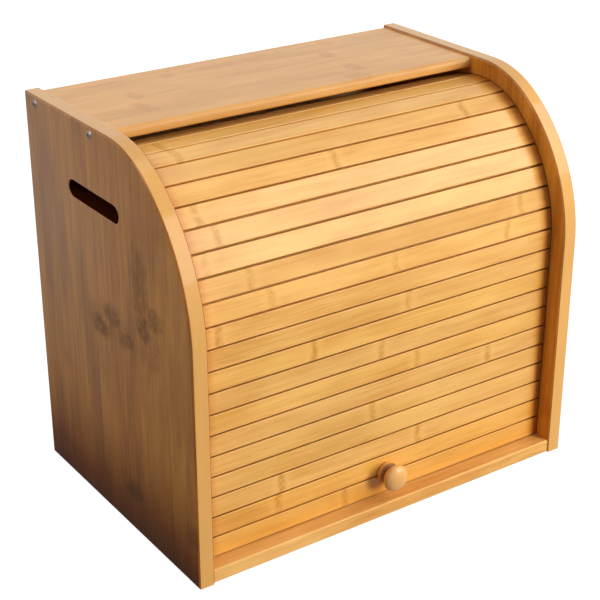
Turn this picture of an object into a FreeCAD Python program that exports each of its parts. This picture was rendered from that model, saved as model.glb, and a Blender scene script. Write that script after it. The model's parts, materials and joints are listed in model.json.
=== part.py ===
"""Roll-top bread box: two board sides, a top, a bottom, a back, a shelf and a slatted roll front.

Frame: X across the width, -Y out of the front, +Z up. The origin is on the floor, in the middle of
the two side panels' footprint. All sizes are in millimetres.
"""
import FreeCAD, Part
import math
import os

# ---------------------------------------------------------------- driving dimensions
# carcass
width = 400.0            # over the outer faces of the two side panels
depth = 270.0            # side panel, front edge to rear edge
height = 356.0           # side panel, floor to top edge
panel_t = 15.0           # side panels
board_edge_r = 2.0       # rounded edges of the side panels

# side panel outline: straight front, a large arc, a tighter arc, then the level top
arc_1_r = 153.0
arc_1_angle = 55.4       # degrees turned by the large arc
arc_2_r = 96.0

# boards between the side panels
top_t = 9.5
top_drop = 2.0           # top board's face below the panels' top edges
top_front_y = 1.0        # front edge of the top board
top_front_r = 4.5        # rounded upper front edge
top_under_r = 3.0        # rounded lower front edge
bottom_t = 13.0
bottom_setback = 1.0     # bottom board's front edge behind the panels' front edges
bottom_front_r = 2.0
back_t = 3.0
back_overlap = 6.0       # back panel reaches this far into the side panels' rebates
back_low = 3.0           # back panel's lower edge above the floor
back_drop = 3.0          # back panel's upper edge below the panels' top edges
rebate_gap = 0.2

# hand-holes in the side panels
hand_length = 87.0
hand_height = 15.2
hand_from_rear = 118.8   # middle of the hand-hole to the rear edge
hand_from_top = 63.5     # middle of the hand-hole to the top edge
hand_edge_r = 0.5

# shelf and its two cleats
shelf_front_gap = 28.5   # behind the slats' inner faces
shelf_rear_gap = 25.5    # before the inner faces of the slats when they are down the back
shelf_z = 172.0
shelf_t = 10.0
shelf_gap = 0.5          # each end of the shelf to the side panel
cleat_w = 12.0
cleat_h = 12.0
cleat_inset = 10.0       # shorter than the shelf at each end
cleat_edge_r = 1.0

# roll front
slat_count = 22
slat_pitch = 19.2        # along the middle of the slats' thickness
slat_width = 18.0        # outer face
slat_inner_width = 16.0  # inner face, narrower so that the slats can fold around the curve
slat_t = 5.0
slat_edge_r = 0.6        # rounded outer edges
slat_end_gap = 0.5       # each slat end to the side panel's inner face
slat_recess = 16.5       # slats' outer faces inside the side panels' outline
slat_floor_gap = 0.3     # lowest slat's edge above the bottom board
rear_track_inset = 27.0  # middle of the slats, on the straight run down the back, to the rear edge
track_flat = 0.4         # level run of the track between the tight arc and the rear arc
rear_track_low = 61.5    # the grooves end here, which stops the last slat when the front is open
groove_depth = 6.0
groove_play = 0.5        # groove wider than the slats by this on each side

# lift knob, batten and canvas
knob_x = 3.0
knob_slat = 2            # the knob is screwed through the lower edge of this slat
knob_lift = 2.4          # knob's axis above the joint under that slat
knob_foot_r = 10.0
knob_waist_r = 7.6
knob_head_r = 12.2
knob_foot_h = 7.2
knob_length = 22.0
batten_t = 5.0
batten_length = 340.0
batten_low = 3.5         # above the lowest slat's edge
batten_h = 32.0
batten_edge_r = 1.0
canvas_t = 0.6
canvas_gap = 0.05
canvas_lap = 1.5         # canvas starts this far above the batten
canvas_side_gap = 2.0    # each canvas edge to the side panel

# screws and dowels
side_screw_head_r = 3.8
side_screw_head_h = 1.8
side_screw_shank_r = 1.9
side_screw_length = 38.0
back_screw_head_r = 2.8
back_screw_shank_r = 1.4
back_screw_length = 16.0
back_screw_cone = 1.8
cleat_screw_head_r = 3.2
cleat_screw_shank_r = 1.5
cleat_screw_length = 20.0
knob_screw_head_r = 4.0
knob_screw_head_h = 2.2
knob_screw_shank_r = 2.0
knob_screw_length = 24.0
screw_hole_gap = 0.05
cross_length = 3.6
cross_width = 0.9
cross_depth = 1.0
top_screw_front = 13.7   # from the top board's front edge
top_screw_rear = 20.8    # from the rear edge
back_screw_inset = 35.0  # outermost back screws to the side panels' inner faces
back_screw_count = 4     # in each of the two rows
cleat_screw_inset = 20.0
dowel_r = 3.0
dowel_in_panel = 8.0
dowel_in_board = 18.0
dowel_end_gap = 0.5
dowel_inset = 30.0       # outermost dowels to the front and rear edges

# ---------------------------------------------------------------- derived places
inner_x = width / 2 - panel_t
front_y = -depth / 2
rear_y = depth / 2
back_front_y = rear_y - back_t
turn_1 = math.radians(arc_1_angle)
turn_2 = math.pi / 2 - turn_1
arc_z = height - arc_1_r * math.sin(turn_1) - arc_2_r * (1 - math.sin(turn_1))
centre_1 = (front_y + arc_1_r, arc_z)
centre_2 = (
    front_y + arc_1_r * (1 - math.cos(turn_1)) + arc_2_r * math.cos(turn_1),
    arc_z + (arc_1_r - arc_2_r) * math.sin(turn_1),
)
slat_mid = slat_recess + slat_t / 2
track_z0 = bottom_t + slat_floor_gap
track_top_z = height - slat_mid
rear_track_y = rear_y - rear_track_inset
rear_arc_r = rear_track_y - centre_2[0] - track_flat
centre_3 = (rear_track_y - rear_arc_r, track_top_z - rear_arc_r)
knob_z = track_z0 + slat_pitch * (knob_slat - 1) + knob_lift
slat_face_y = front_y + slat_recess
hand_y = rear_y - hand_from_rear
hand_z = height - hand_from_top
shelf_front_y = slat_face_y + slat_t + shelf_front_gap
shelf_rear_y = rear_track_y - slat_t / 2 - shelf_rear_gap
cleat_front_y = shelf_front_y + cleat_inset
cleat_rear_y = shelf_rear_y - cleat_inset
top_mid_z = height - top_drop - top_t / 2
top_screw_ys = (top_front_y + top_screw_front, rear_y - top_screw_rear)
bottom_mid_z = bottom_t / 2
dowel_ys = (front_y + dowel_inset, 0.0, rear_y - dowel_inset)
back_screw_x = inner_x - back_screw_inset
back_screw_step = 2 * back_screw_x / (back_screw_count - 1)
back_screw_xs = [i * back_screw_step - back_screw_x for i in range(back_screw_count)]
cleat_screw_ys = (cleat_front_y + cleat_screw_inset, cleat_rear_y - cleat_screw_inset)


# ---------------------------------------------------------------- helpers
def vec(x, y, z):
    return FreeCAD.Vector(x, y, z)


def block(x0, x1, y0, y1, z0, z1):
    return Part.makeBox(x1 - x0, y1 - y0, z1 - z0, vec(x0, y0, z0))


def plate(points_or_edges, x0, x1):
    """A closed outline in the YZ plane, as edges, made into a plate between x0 and x1."""
    face = Part.Face(Part.Wire(Part.__sortEdges__(points_or_edges)))
    solid = face.extrude(vec(x1 - x0, 0, 0))
    solid.translate(vec(x0, 0, 0))
    return solid


def line(a, b):
    return Part.LineSegment(vec(0, *a), vec(0, *b)).toShape()


def arc(a, b, c):
    return Part.Arc(vec(0, *a), vec(0, *b), vec(0, *c)).toShape()


def on_circle(centre, radius, heading):
    """Point of a circle where something that follows it up, over and back has this heading."""
    return (centre[0] - radius * math.cos(heading), centre[1] + radius * math.sin(heading))


def x_edges(solid, keep):
    """Edges that run along X, and whose middle passes the test."""
    found = []
    for edge in solid.Edges:
        box = edge.BoundBox
        if box.XLength > 1.0 and box.YLength < 1e-6 and box.ZLength < 1e-6:
            if keep(box.YMin, box.ZMin):
                found.append(edge)
    return found


def face_rim(solid, x):
    """Outer edges of the flat face that lies at this x."""
    for face in solid.Faces:
        box = face.BoundBox
        if box.XLength < 1e-6 and abs(box.XMin - x) < 1e-6:
            return face.OuterWire.Edges
    raise ValueError("no face at x = %g" % x)


# ---------------------------------------------------------------- the slats' track
def track_pieces():
    """Straight and curved pieces of the track, from the bottom board up, over and down the back."""
    flat_y = centre_2[0]
    return (
        ("line", arc_z - track_z0, (front_y + slat_mid, track_z0), 0.0),
        ("arc", arc_1_r - slat_mid, centre_1, 0.0, turn_1),
        ("arc", arc_2_r - slat_mid, centre_2, turn_1, turn_2),
        ("line", centre_3[0] - flat_y, (flat_y, track_top_z), math.pi / 2),
        ("arc", rear_arc_r, centre_3, math.pi / 2, math.pi / 2),
        ("line", centre_3[1] - rear_track_low, (rear_track_y, centre_3[1]), math.pi),
    )


def piece_length(piece):
    return piece[1] if piece[0] == "line" else piece[1] * piece[4]


def piece_point(piece, along, outward):
    """Point of one piece, this far along it and moved outward; and the heading there."""
    if piece[0] == "line":
        y0, z0 = piece[2]
        heading = piece[3]
        y = y0 + along * math.sin(heading) - outward * math.cos(heading)
        z = z0 + along * math.cos(heading) + outward * math.sin(heading)
        return (y, z), heading
    heading = piece[3] + along / piece[1]
    return on_circle(piece[2], piece[1] + outward, heading), heading


def track_point(distance):
    """Middle of a slat at this distance along the track, and its heading."""
    for piece in track_pieces():
        length = piece_length(piece)
        if distance <= length:
            return piece_point(piece, distance, 0.0)
        distance -= length
    raise ValueError("the slats run off the end of the track")


def track_band(inward, outward, start, end):
    """Outline edges of a band along the track, between two distances along it."""
    edges = []
    ends = []
    position = 0.0
    for piece in track_pieces():
        length = piece_length(piece)
        a = max(start - position, 0.0)
        b = min(end - position, length)
        position += length
        if b - a < 1e-6:
            continue
        for offset in (outward, -inward):
            p, q, r = [piece_point(piece, s, offset)[0] for s in (a, (a + b) / 2, b)]
            edges.append(line(p, r) if piece[0] == "line" else arc(p, q, r))
            ends.append((p, r))
    edges.append(line(ends[0][0], ends[1][0]))
    edges.append(line(ends[-2][1], ends[-1][1]))
    return edges


# ---------------------------------------------------------------- screws
def cross_recess(depth_of_cut):
    """Cross-shaped driver slot below z = 0, to be cut from a head that ends there."""
    bars = []
    for turn in (0, 90):
        bar = block(-cross_length / 2, cross_length / 2, -cross_width / 2, cross_width / 2,
                    -depth_of_cut, 1.0)
        bar.rotate(vec(0, 0, 0), vec(0, 0, 1), turn)
        bars.append(bar)
    return bars[0].fuse(bars[1])


def pan_screw(head_r, head_h, shank_r, length):
    """Round-head screw that points along -Z, with the underside of its head at z = 0."""
    sphere_r = (head_r ** 2 + head_h ** 2) / (2 * head_h)
    dome = Part.makeSphere(sphere_r, vec(0, 0, head_h - sphere_r))
    head = dome.common(Part.makeCylinder(head_r, head_h + 1.0))
    tip = Part.makeCone(shank_r * 0.3, shank_r, shank_r * 2, vec(0, 0, -length))
    shank = Part.makeCylinder(shank_r, length - shank_r * 2, vec(0, 0, -length + shank_r * 2))
    slot = cross_recess(cross_depth)
    slot.translate(vec(0, 0, head_h))
    return head.fuse([shank, tip]).cut(slot).removeSplitter()


def flat_screw(head_r, cone_h, shank_r, length):
    """Countersunk screw that points along -Z, with its flat head at z = 0."""
    head = Part.makeCone(shank_r, head_r, cone_h, vec(0, 0, -cone_h))
    tip = Part.makeCone(shank_r * 0.3, shank_r, shank_r * 2, vec(0, 0, -length))
    shank = Part.makeCylinder(shank_r, length - cone_h - shank_r * 2, vec(0, 0, -length + shank_r * 2))
    return head.fuse([shank, tip]).cut(cross_recess(cross_depth)).removeSplitter()


def aim(shape, place, direction):
    """Turn a screw modelled along Z so that its head faces this direction, at this place."""
    turned = shape.copy()
    turned.Placement = FreeCAD.Placement(place, FreeCAD.Rotation(vec(0, 0, 1), direction))
    return turned


def side_screw_places(side):
    return [(vec(side * width / 2, y, top_mid_z), vec(side, 0, 0)) for y in top_screw_ys]


def back_screw_places():
    rows = (bottom_mid_z, top_mid_z)
    return [(vec(x, rear_y, z), vec(0, 1, 0)) for z in rows for x in back_screw_xs]


def cleat_screw_places(side):
    z = shelf_z - cleat_h / 2
    return [(vec(side * (inner_x - cleat_w), y, z), vec(-side, 0, 0)) for y in cleat_screw_ys]


def screws(shape, places):
    return Part.makeCompound([aim(shape, place, direction) for place, direction in places])


def drill(shape, places, screw_radius, length):
    """Cut a pilot hole for each screw, from its seat inward."""
    holes = []
    for place, direction in places:
        start = place + direction * 5.0
        hole = Part.makeCylinder(screw_radius + screw_hole_gap, length + 5.5, start, direction * -1)
        holes.append(hole)
    return shape.cut(holes)


def countersink(shape, places, head_r, cone_h, shank_r):
    cones = []
    for place, direction in places:
        cone = Part.makeCone(head_r + screw_hole_gap, shank_r + screw_hole_gap, cone_h, place,
                             direction * -1)
        cones.append(cone)
    return shape.cut(cones)


def dowels(side, start_x, end_x):
    """Round pins from one distance to another from the middle plane, at the dowels' places."""
    pins = []
    for y in dowel_ys:
        pins.append(Part.makeCylinder(dowel_r, end_x - start_x, vec(side * start_x, y, bottom_mid_z),
                                      vec(side, 0, 0)))
    return Part.makeCompound(pins)


side_screw = pan_screw(side_screw_head_r, side_screw_head_h, side_screw_shank_r, side_screw_length)
back_screw = flat_screw(back_screw_head_r, back_screw_cone, back_screw_shank_r, back_screw_length)
cleat_screw = flat_screw(cleat_screw_head_r, back_screw_cone, cleat_screw_shank_r, cleat_screw_length)
knob_screw = pan_screw(knob_screw_head_r, knob_screw_head_h, knob_screw_shank_r, knob_screw_length)


# ---------------------------------------------------------------- carcass
def side_panel(side):
    """Board with a rounded front top corner, a hand-hole, a track groove and a rear rebate."""
    face_x = side * width / 2
    low, high = sorted((side * inner_x, face_x))
    top_y = centre_2[0]
    outline = [
        line((front_y, 0.0), (front_y, arc_z)),
        arc(*[on_circle(centre_1, arc_1_r, turn_1 * share) for share in (0.0, 0.5, 1.0)]),
        arc(*[on_circle(centre_2, arc_2_r, turn_1 + turn_2 * share) for share in (0.0, 0.5, 1.0)]),
        line((top_y, height), (rear_y, height)),
        line((rear_y, height), (rear_y, 0.0)),
        line((rear_y, 0.0), (front_y, 0.0)),
    ]
    panel = plate(outline, low, high)
    panel = panel.makeFillet(board_edge_r, face_rim(panel, low) + face_rim(panel, high))
    panel = panel.cut(hand_hole(low, high))
    groove_x = (inner_x - 1.0, inner_x + groove_depth)
    groove_low, groove_high = sorted(side * x for x in groove_x)
    track_length = sum(piece_length(piece) for piece in track_pieces())
    reach = slat_t / 2 + groove_play
    groove = plate(track_band(reach, reach, 0.0, track_length), groove_low, groove_high)
    rebate_low, rebate_high = sorted((side * (inner_x - 1.0),
                                      side * (inner_x + back_overlap + rebate_gap)))
    rebate = block(rebate_low, rebate_high, back_front_y, rear_y + 5.0,
                   back_low - rebate_gap, height - back_drop + rebate_gap)
    panel = panel.cut([groove, rebate])
    panel = panel.cut(dowels(side, inner_x - 1.0, inner_x + dowel_in_panel))
    panel = drill(panel, side_screw_places(side), side_screw_shank_r, side_screw_length)
    return drill(panel, cleat_screw_places(side), cleat_screw_shank_r, cleat_screw_length)


def hand_outline(margin):
    """Closed outline of the long round-ended hand-hole, larger by this margin all round."""
    radius = hand_height / 2 + margin
    half = (hand_length - hand_height) / 2
    edges = []
    for end in (-1, 1):
        y = hand_y + end * half
        edges.append(line((hand_y - half, hand_z + end * radius), (hand_y + half, hand_z + end * radius)))
        edges.append(arc((y, hand_z - radius), (y + end * radius, hand_z), (y, hand_z + radius)))
    return edges


def hand_hole(low, high):
    """Cutter for the grip, with its rims eased where it meets the panel's two faces."""
    cutter = plate(hand_outline(0.0), low - 1.0, high + 1.0)
    for x, inward in ((low, 1), (high, -1)):
        tip_x = x + inward * hand_edge_r
        flare = plate(hand_outline(hand_edge_r), min(x, tip_x), max(x, tip_x))
        cutter = cutter.fuse(flare.makeChamfer(hand_edge_r * 0.999, face_rim(flare, tip_x)))
    return cutter


def top_board():
    board = block(-inner_x, inner_x, top_front_y, back_front_y,
                  height - top_drop - top_t, height - top_drop)
    for radius, above in ((top_front_r, True), (top_under_r, False)):
        board = board.makeFillet(radius, x_edges(board, lambda y, z: (
            abs(y - top_front_y) < 1e-6 and (z > height - top_drop - 1e-6) == above
            and (z < height - top_drop - top_t + 1e-6) != above)))
    for side in (-1, 1):
        board = drill(board, side_screw_places(side), side_screw_shank_r, side_screw_length)
    return drill(board, back_screw_places(), back_screw_shank_r, back_screw_length)


def bottom_board():
    front = front_y + bottom_setback
    board = block(-inner_x, inner_x, front, back_front_y, 0.0, bottom_t)
    board = board.makeFillet(bottom_front_r, x_edges(board, lambda y, z: abs(y - front) < 1e-6))
    for side in (-1, 1):
        board = board.cut(dowels(side, inner_x - dowel_in_board - dowel_end_gap, inner_x + 1.0))
    return drill(board, back_screw_places(), back_screw_shank_r, back_screw_length)


def back_panel():
    reach = inner_x + back_overlap
    panel = block(-reach, reach, back_front_y, rear_y, back_low, height - back_drop)
    panel = drill(panel, back_screw_places(), back_screw_shank_r, back_screw_length)
    return countersink(panel, back_screw_places(), back_screw_head_r, back_screw_cone,
                       back_screw_shank_r)


def shelf():
    reach = inner_x - shelf_gap
    board = block(-reach, reach, shelf_front_y, shelf_rear_y, shelf_z, shelf_z + shelf_t)
    edges = x_edges(board, lambda y, z: abs(y - shelf_front_y) < 1e-6)
    return board.makeFillet(bottom_front_r, edges)


def shelf_cleat(side):
    low, high = sorted((side * (inner_x - cleat_w), side * inner_x))
    cleat = block(low, high, cleat_front_y, cleat_rear_y, shelf_z - cleat_h, shelf_z)
    free_x = side * (inner_x - cleat_w)
    edges = []
    for edge in cleat.Edges:
        box = edge.BoundBox
        if box.YLength > 1.0 and abs(box.XMin - free_x) < 1e-6 and box.ZMin < shelf_z - 1.0:
            edges.append(edge)
    cleat = cleat.makeFillet(cleat_edge_r, edges)
    cleat = drill(cleat, cleat_screw_places(side), cleat_screw_shank_r, cleat_screw_length)
    return countersink(cleat, cleat_screw_places(side), cleat_screw_head_r, back_screw_cone,
                       cleat_screw_shank_r)


# ---------------------------------------------------------------- roll front
def slat_bar():
    """One slat at the origin: along X, its width along Z and its outer face towards -Y."""
    half_t = slat_t / 2
    corners = (
        (-half_t, -slat_width / 2), (-half_t, slat_width / 2),
        (half_t, slat_inner_width / 2), (half_t, -slat_inner_width / 2),
    )
    outline = [line(corners[i], corners[(i + 1) % 4]) for i in range(4)]
    reach = inner_x - slat_end_gap
    bar = plate(outline, -reach, reach)
    return bar.makeFillet(slat_edge_r, x_edges(bar, lambda y, z: y < 0))


def slat(index):
    (y, z), heading = track_point((index - 0.5) * slat_pitch)
    bar = slat_bar()
    bar.rotate(vec(0, 0, 0), vec(1, 0, 0), -math.degrees(heading))
    bar.translate(vec(0, y, z))
    if index == knob_slat:
        bar = bar.cut(knob_bore())
    return bar


def knob_bore():
    """Clearance for the knob's screw through its slat and the batten."""
    return Part.makeCylinder(knob_screw_shank_r + screw_hole_gap, slat_t + batten_t + 2.0,
                             vec(knob_x, slat_face_y - 1.0, knob_z), vec(0, 1, 0))


def lead_batten():
    y = slat_face_y + slat_t
    z = track_z0 + batten_low
    half = batten_length / 2
    batten = block(-half, half, y, y + batten_t, z, z + batten_h)
    batten = batten.makeFillet(batten_edge_r, x_edges(batten, lambda py, pz: py > y + 1.0))
    return batten.cut(knob_bore())


def tambour_canvas():
    start = batten_low + batten_h + canvas_lap
    inner = slat_t / 2 + canvas_gap
    reach = inner_x - canvas_side_gap
    return plate(track_band(inner + canvas_t, -inner, start, slat_count * slat_pitch - 1.0), -reach, reach)


def knob():
    """Turned knob: a rounded foot, a waist and a ball-like head."""
    foot_mid = knob_foot_h / 2
    head_y = knob_length - knob_head_r * 0.88
    profile = Part.BSplineCurve()
    profile.interpolate([
        vec(knob_foot_r - 0.8, 0, 0),
        vec(knob_foot_r, 0, foot_mid * 0.7),
        vec(knob_foot_r - 0.4, 0, foot_mid * 1.4),
        vec(knob_waist_r, 0, knob_foot_h),
        vec(knob_head_r - 1.2, 0, head_y - 3.6),
        vec(knob_head_r, 0, head_y),
        vec(knob_head_r - 1.6, 0, head_y + 4.6),
        vec(knob_head_r - 5.5, 0, knob_length - 2.4),
        vec(0.0, 0, knob_length),
    ])
    edges = [
        profile.toShape(),
        Part.LineSegment(vec(0, 0, knob_length), vec(0, 0, 0)).toShape(),
        Part.LineSegment(vec(0, 0, 0), vec(knob_foot_r - 0.8, 0, 0)).toShape(),
    ]
    body = Part.Face(Part.Wire(edges)).revolve(vec(0, 0, 0), vec(0, 0, 1), 360)
    depth_in = knob_screw_length - slat_t - batten_t
    pilot = Part.makeCylinder(knob_screw_shank_r + screw_hole_gap, depth_in + 0.5, vec(0, 0, 0))
    body = body.cut(pilot)
    return aim(body, vec(knob_x, slat_face_y, knob_z), vec(0, -1, 0))


def write(name, shape):
    shape.exportStep(os.path.join("parts", name + ".step"))


def main():
    os.makedirs("parts", exist_ok=True)
    write("top_board", top_board())
    write("bottom_board", bottom_board())
    write("back_panel", back_panel())
    write("shelf", shelf())
    for name, side in (("left", -1), ("right", 1)):
        write("side_panel_" + name, side_panel(side))
        write("shelf_cleat_" + name, shelf_cleat(side))
        write("top_screws_" + name, screws(side_screw, side_screw_places(side)))
        write("bottom_dowels_" + name, dowels(side, inner_x - dowel_in_board, inner_x + dowel_in_panel))
        write("cleat_screws_" + name, screws(cleat_screw, cleat_screw_places(side)))
    write("back_screws", screws(back_screw, back_screw_places()))
    for index in range(1, slat_count + 1):
        write("slat_%02d" % index, slat(index))
    write("lead_batten", lead_batten())
    write("tambour_canvas", tambour_canvas())
    write("knob", knob())
    seat = vec(knob_x, slat_face_y + slat_t + batten_t, knob_z)
    write("knob_screw", aim(knob_screw, seat, vec(0, 1, 0)))


main()
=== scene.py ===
"""Looks of the roll-top bread box: slats, canvas, knob, screws, boards and the studio around them.

Laid out as an add-on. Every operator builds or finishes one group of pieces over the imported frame,
in metres, in the frame's own axes: X to the right, -Y out of the front, Z up.
"""

import json
import math
import random

import bmesh
import bpy
from bpy.props import FloatProperty, FloatVectorProperty, IntProperty, PointerProperty
from mathutils import Matrix, Vector

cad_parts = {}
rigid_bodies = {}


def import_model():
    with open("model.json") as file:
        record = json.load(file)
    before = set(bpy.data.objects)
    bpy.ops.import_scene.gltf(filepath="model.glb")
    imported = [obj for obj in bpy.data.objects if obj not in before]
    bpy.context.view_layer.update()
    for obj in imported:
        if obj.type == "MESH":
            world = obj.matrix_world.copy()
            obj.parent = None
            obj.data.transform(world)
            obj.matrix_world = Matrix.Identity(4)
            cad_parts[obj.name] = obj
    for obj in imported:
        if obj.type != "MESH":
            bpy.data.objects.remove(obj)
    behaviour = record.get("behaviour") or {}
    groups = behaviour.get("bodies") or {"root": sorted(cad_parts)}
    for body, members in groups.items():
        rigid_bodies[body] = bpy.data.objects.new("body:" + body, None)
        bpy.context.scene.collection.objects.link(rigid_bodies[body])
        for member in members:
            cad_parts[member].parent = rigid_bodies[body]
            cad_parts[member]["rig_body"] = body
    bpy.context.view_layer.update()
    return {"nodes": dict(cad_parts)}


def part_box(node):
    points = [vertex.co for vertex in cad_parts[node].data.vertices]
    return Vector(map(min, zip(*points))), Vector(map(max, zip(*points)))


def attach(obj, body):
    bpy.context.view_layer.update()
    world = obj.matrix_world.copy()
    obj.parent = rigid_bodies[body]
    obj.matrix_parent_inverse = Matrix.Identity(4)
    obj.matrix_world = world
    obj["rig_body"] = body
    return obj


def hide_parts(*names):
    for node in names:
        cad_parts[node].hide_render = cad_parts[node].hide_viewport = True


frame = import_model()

bl_info = {
    "name": "Roll-Top Bread Box",
    "version": (1, 0, 0),
    "blender": (4, 5, 0),
    "location": "View3D > Sidebar > Bread Box",
    "description": "Builds the finished surfaces of a roll-top bread box over its frame",
    "category": "Object",
}

MM = 0.001
PANEL_LOW, PANEL_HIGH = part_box("side_panel_left")
SLAT_LOW, SLAT_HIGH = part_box("slat_05")
KNOB_LOW, KNOB_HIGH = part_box("knob")
SLAT_NAMES = sorted(name for name in frame["nodes"] if name.startswith("slat_"))
# from the lowest slat up, in millimetres: where a joint of the cane crosses it, right of the middle,
# and how far it is to the next one
SLAT_JOINTS = (
    (-41, 500), (-111, 500), (38, 146), (181, 500), (-13, 500), (116, 500), (35, 500), (-5, 500),
    (-75, 500), (23, 500), (-166, 500), (9, 124), (151, 283), (-168, 500), (-151, 500), (-162, 500),
    (-20, 500), (130, 500), (-151, 500), (-154, 500), (80, 500), (-60, 500),
)
# dark joints and soft clouds in the boards: across the fibres, along them, half sizes (mm) and strength
PANEL_STAINS = (
    (17, 181, 15, 10, 0.85), (-6, 198, 14, 11, 0.75), (-29, 184, 15, 8, 0.65), (-60, 206, 12, 16, 0.80),
    (-79, 221, 16, 11, 0.65), (-56, 238, 14, 38, 0.55), (-66, 196, 22, 22, 0.35),
    (4, 188, 40, 14, 0.25), (-30, 41, 15, 9, 0.75), (-128, 47, 11, 12, 0.45), (84, 118, 12, 8, 0.20),
    (-100, 300, 14, 9, 0.20),
)
TOP_STAINS = (
    (73, -127, 12, 7, 0.45), (42, -138, 12, 8, 0.55), (108, -75, 11, 7, 0.40), (83, 82, 12, 7, 0.45),
    (38, 78, 12, 8, 0.45), (12, 63, 11, 12, 0.45), (117, 102, 10, 7, 0.35), (110, -28, 6, 24, 0.30),
    (55, 142, 5, 20, 0.25),
)
JOINT_BROWN = (0.20, 0.068, 0.010, 1.0)
SLAT_JOINT_BROWN = (0.55, 0.235, 0.020, 1.0)
# painted shade: the slats' ends turn towards this browner colour next to the side panels
END_SHADE = (0.72, 0.50, 0.32, 1.0)
# painted shade: tint of the side panels' inner faces
INNER_FACE_SHADE = (0.95, 0.80, 0.42, 1.0)
TOP_BROWN = (0.56, 0.21, 0.030, 1.0)
# hand-hole, for its painted shade: middle from front to rear, middle height, half its straight run, radius of
# its ends
HAND_HOLE = (16.2 * MM, 292.5 * MM, 36.2 * MM, 8.2 * MM)
# painted light: the lighter colour that the side panels' edges are mixed towards
LIT_EDGE_COLOUR = (0.73, 0.385, 0.105, 1.0)
KNOB_GROOVE = 7.2 * MM
KNOB_BEAD = 2.2 * MM
# how strongly the marks of the left panel show on the right one
RIGHT_STAIN = 0.35
FLOOR_GREY = 0.24
# glow of the floor as the camera sees it, and the share of it that gloss sees
FLOOR_GLOW, FLOOR_GLOSS = 0.94, 0.35
# soft boxes: name, place, target, width, height, and whether gloss mirrors them
LAMPS = (
    ("key", (1.542, -1.622, 1.706), (0.0, -0.08, 0.29), 2.2, 1.75, True),
    ("side", (1.22, -2.27, 0.60), (0.0, 0.0, 0.2), 0.8, 1.2, False),
    ("back", (1.20, 2.10, 0.80), (0.0, 0.0, 0.2), 1.2, 1.2, False),
    ("top", (0.2, 0.3, 2.6), (0.0, 0.0, 0.2), 1.5, 1.5, True),
    ("left", (-0.80, 0.05, 0.95), (-0.2, 0.0, 0.28), 0.4, 0.4, True),
)


def colour(name, description, default):
    return FloatVectorProperty(
        name=name, description=description, default=default, size=3, min=0.0, max=1.0, subtype="COLOR"
    )


def length(name, description, default):
    return FloatProperty(
        name=name, description=description, default=default, min=0.0, unit="LENGTH", precision=4
    )


def factor(name, description, default):
    return FloatProperty(
        name=name, description=description, default=default, min=0.0, max=1.0, subtype="FACTOR"
    )


def power(name, description, default):
    return FloatProperty(name=name, description=description, default=default, min=0.0, unit="POWER")


# ---------------------------------------------------------------- settings
class BreadBoxTrack(bpy.types.PropertyGroup):
    """The path that the middle of the slats' thickness follows inside the two side panels."""

    recess: length("Recess", "Slats' outer faces inside the side panels' outline", 16.5 * MM)
    arc_1_radius: length("Large Arc", "Radius of the side panels' large front arc", 153 * MM)
    arc_1_angle: FloatProperty(
        name="Large Arc Angle",
        description="How far the large arc turns before the tight one takes over",
        default=math.radians(55.4),
        subtype="ANGLE",
    )
    arc_2_radius: length("Tight Arc", "Radius of the side panels' tight upper arc", 96 * MM)
    flat: length("Level Run", "Level run between the tight arc and the rear arc", 0.4 * MM)
    rear_inset: length("Rear Inset", "Run down the back, to the side panels' rear edge", 27 * MM)
    floor_z: length("Floor", "Lower edge of the lowest slat's pitch", 13.3 * MM)


class BreadBoxSlats(bpy.types.PropertyGroup):
    """Sizes and colours of the slats and of the canvas that joins them."""

    length: length("Length", "Slat, end to end", SLAT_HIGH.x - SLAT_LOW.x)
    outer_width: length("Outer Width", "Width of the outer face", 18.0 * MM)
    inner_width: length("Inner Width", "Width of the inner face", 16.0 * MM)
    thickness: length("Thickness", "Slat thickness", SLAT_HIGH.y - SLAT_LOW.y)
    pitch: length("Pitch", "Slat to slat, along the track", 19.2 * MM)
    edge: length("Outer Edge Radius", "Rounding of the two outer edges", 0.6 * MM)
    inner_edge: length("Inner Edge Radius", "Rounding of the two inner edges", 0.3 * MM)
    canvas_thickness: length("Canvas Thickness", "Thickness of the backing cloth", 0.6 * MM)
    canvas_gap: length("Canvas Gap", "Slit that lets neighbouring strips of the cloth bend", 0.45 * MM)
    canvas_taper: length("Canvas Taper", "How much narrower a strip's inner face is", 0.6 * MM)
    canvas_inset: length("Canvas Inset", "Edge of the cloth to the slats' ends", 1.5 * MM)
    light: colour("Light Fibres", "Colour between the dark fibres", (0.87, 0.478, 0.127))
    dark: colour("Dark Fibres", "Colour of the dark fibres", (0.68, 0.32, 0.056))
    # painted shade: the lead tone makes the two lowest slats darker and more orange, not a different cane
    lead_shade_tone: colour("Lead Tone", "The two lead slats are cut from more golden cane", (0.97, 0.88, 0.60))
    tone_spread: factor("Tone Spread", "How far the slats differ in tone", 0.045)
    tone_seed: IntProperty(name="Tone Seed", description="Seed of the slats' tones", default=7, min=0)
    canvas: colour("Canvas", "Colour of the cloth", (0.72, 0.40, 0.13))


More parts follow.
